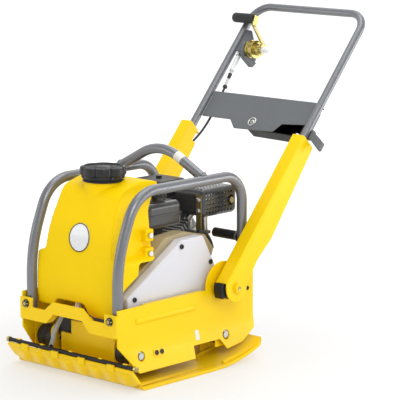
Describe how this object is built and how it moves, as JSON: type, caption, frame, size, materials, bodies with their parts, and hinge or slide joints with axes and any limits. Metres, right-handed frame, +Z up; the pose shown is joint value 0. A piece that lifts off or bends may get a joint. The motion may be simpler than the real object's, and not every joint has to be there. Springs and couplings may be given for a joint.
{
  "type": "reversible vibratory plate compactor",
  "caption": "Petrol plate compactor: sprung deck on a curved sole plate, water tank, engine, belt drive, tube guard and a folding guide pole with a travel lever.",
  "frame": {"origin": "on the flat sole, in the middle of its width, near the front third of the machine", "axes": "+X towards the belt guard side, -Y towards the front (the nose and the spray bar), +Z up; the guide pole leans to +Y"},
  "size_m": [0.55, 1.0693, 0.9755],
  "materials": {
    "yellow_paint": "satin enamel with fine orange peel",
    "yellow_tank": "moulded, satin",
    "grey_paint": "metallic grey, satin",
    "panel_grey": "satin",
    "dark_steel": "black, satin",
    "zinc": "zinc plated",
    "yellow_zinc": "yellow passivated zinc",
    "guard_white": "satin light grey",
    "guard_beige": "satin",
    "black_rubber": "matt",
    "black_plastic": "grained",
    "engine_black": "satin",
    "cast": "as cast",
    "iron": "as cast",
    "steel": "ground",
    "clear_hose": "translucent",
    "badge_grey": "gloss",
    "white_plastic": "gloss"
  },
  "bodies": {
    "machine": {"base_plate": "yellow_paint", "base_brackets": "yellow_paint", "rubber_buffers": "black_rubber", "exciter_housing": "iron", "exciter_covers": "cast", "exciter_bearings": "steel", "v_belt": "black_rubber", "chassis_walls": "yellow_paint", "front_cross_member": "yellow_paint", "engine_deck": "yellow_paint", "roll_bars": "grey_paint", "lifting_hoop": "grey_paint", "rear_stub_bar": "dark_steel", "frame_bolts": "zinc", "water_tank": "yellow_tank", "tank_emblem": "badge_grey", "water_hose": "clear_hose", "water_tap_body": "white_plastic", "spray_bar": "dark_steel", "spray_bar_clips": "yellow_paint", "guard_shell": "guard_beige", "guard_cover": "guard_white", "guard_bolts": "dark_steel", "crankcase": "cast", "cylinder": "cast", "rocker_cover": "cast", "fan_housing": "engine_black", "recoil_cover": "engine_black", "fuel_tank": "engine_black", "carburettor": "cast", "air_cleaner": "black_plastic", "muffler": "steel", "muffler_guard": "engine_black", "pivot_bushes": "steel"},
    "pole": {"pole_arms": "yellow_paint", "handle_tube": "grey_paint", "control_panel": "panel_grey", "pole_tray": "black_plastic", "lever_bracket": "panel_grey", "control_cable": "black_rubber"},
    "travel_lever": {"travel_lever": "yellow_zinc", "lever_grip": "black_rubber", "lever_nut": "white_plastic"},
    "shift_arm": {"shift_arm": "zinc"},
    "cap_seal": {"tank_cap_seal": "black_rubber"},
    "tank_cap": {"tank_cap": "black_plastic"},
    "fuel_cap": {"fuel_cap": "black_plastic"},
    "crank": {"crankshaft": "steel", "drive_clutch": "iron"},
    "exciter_front": {"eccentric_shaft_front": "steel", "timing_gear_front": "steel", "exciter_pulley": "iron"},
    "exciter_rear": {"eccentric_shaft_rear": "steel", "timing_gear_rear": "steel"},
    "starter": {"starter_handle": "black_plastic"},
    "throttle": {"throttle_lever": "zinc"},
    "choke": {"choke_lever": "black_plastic"},
    "rocker_switch": {"engine_switch": "black_plastic"},
    "tap_lever": {"water_tap_lever": "dark_steel"},
    "dipstick": {"oil_dipstick": "black_plastic"}
  },
  "joints": [
    {"name": "pole_pivot", "type": "hinge", "parent": "machine", "child": "pole", "pos_m": [0, 0.16, 0.226], "axis": [1, 0, 0], "range_deg": [0, 41]},
    {"name": "travel_lever_turn", "type": "hinge", "parent": "pole", "child": "travel_lever", "pos_m": [-0.14, 0.67029, 0.84106], "axis": [1, 0, 0], "range_deg": [0, 40]},
    {"name": "shift_arm_turn", "type": "hinge", "parent": "machine", "child": "shift_arm", "pos_m": [-0.133, -0.065, 0.112], "axis": [1, 0, 0], "range_deg": [0, 20]},
    {"name": "cap_seal_lift", "type": "slide", "parent": "machine", "child": "cap_seal", "axis": [0, 0, 1], "range_m": [0, 0.005]},
    {"name": "tank_cap_turn", "type": "hinge", "parent": "cap_seal", "child": "tank_cap", "pos_m": [0.004, -0.133, 0.57], "axis": [0, 0, 1], "range_deg": [0, 360]},
    {"name": "fuel_cap_turn", "type": "hinge", "parent": "machine", "child": "fuel_cap", "pos_m": [0.05, 0.04, 0.488], "axis": [0, 0, 1], "range_deg": [0, 90]},
    {"name": "crank_spin", "type": "hinge", "parent": "machine", "child": "crank", "pos_m": [0, 0.066, 0.268], "axis": [1, 0, 0], "continuous": true},
    {"name": "exciter_front_spin", "type": "hinge", "parent": "machine", "child": "exciter_front", "pos_m": [0, -0.105, 0.092], "axis": [1, 0, 0], "continuous": true},
    {"name": "exciter_rear_spin", "type": "hinge", "parent": "machine", "child": "exciter_rear", "pos_m": [0, -0.025, 0.092], "axis": [1, 0, 0], "continuous": true},
    {"name": "starter_pull", "type": "slide", "parent": "machine", "child": "starter", "axis": [-0.8521, 0.1504, 0.5013], "range_m": [0, 0.6], "stiffness_N_per_m": 12, "springref_m": -0.4},
    {"name": "throttle_turn", "type": "hinge", "parent": "machine", "child": "throttle", "pos_m": [-0.097, 0.215, 0.402], "axis": [0, 1, 0], "range_deg": [-10, 18]},
    {"name": "choke_turn", "type": "hinge", "parent": "machine", "child": "choke", "pos_m": [-0.116, 0.19, 0.402], "axis": [1, 0, 0], "range_deg": [-20, 30]},
    {"name": "engine_switch_rock", "type": "hinge", "parent": "machine", "child": "rocker_switch", "pos_m": [-0.132, 0.006, 0.348], "axis": [0, 1, 0], "range_deg": [-12, 12]},
    {"name": "water_tap_turn", "type": "hinge", "parent": "machine", "child": "tap_lever", "pos_m": [0.009, -0.222, 0.187], "axis": [-1, 0, 0], "range_deg": [0, 90]},
    {"name": "oil_dipstick_turn", "type": "hinge", "parent": "machine", "child": "dipstick", "pos_m": [0.02, -0.043, 0.2148], "axis": [0, -0.774, 0.6332], "range_deg": [0, 90]}
  ],
  "couplings": [
    {"joint": "shift_arm_turn", "follows": "travel_lever_turn", "ratio": 0.5},
    {"joint": "cap_seal_lift", "follows": "tank_cap_turn", "m_per_rad": 0.00079577},
    {"joint": "exciter_front_spin", "follows": "crank_spin", "ratio": 1.5},
    {"joint": "exciter_rear_spin", "follows": "crank_spin", "ratio": -1.5}
  ]
}
